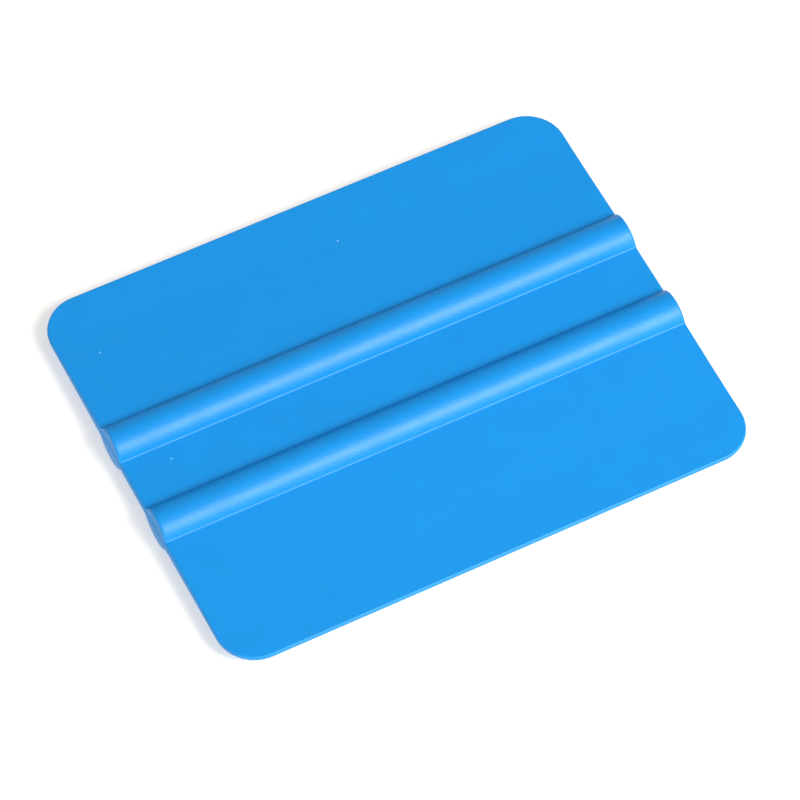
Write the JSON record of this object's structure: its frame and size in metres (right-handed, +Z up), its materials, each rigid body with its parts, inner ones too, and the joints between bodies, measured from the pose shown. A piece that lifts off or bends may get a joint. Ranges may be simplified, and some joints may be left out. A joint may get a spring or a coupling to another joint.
{
  "type": "hand applicator squeegee",
  "caption": "Flat flexible plastic squeegee blade with two long working edges, round corners and raised finger ribs along the middle of both faces, for pressing vinyl film down.",
  "frame": {"origin": "under the middle of the part, on the plane that the lower rib crowns rest on", "axes": "+X along the ribs and the working edges, towards the end where the lands are wider; +Y towards the far working edge; +Z up, through the thickness"},
  "size_m": [0.1016, 0.08, 0.0074],
  "materials": {
    "moulded_plastic": "fine matte moulded texture"
  },
  "bodies": {
    "root": {"applicator_body": "moulded_plastic"}
  },
  "joints": []
}
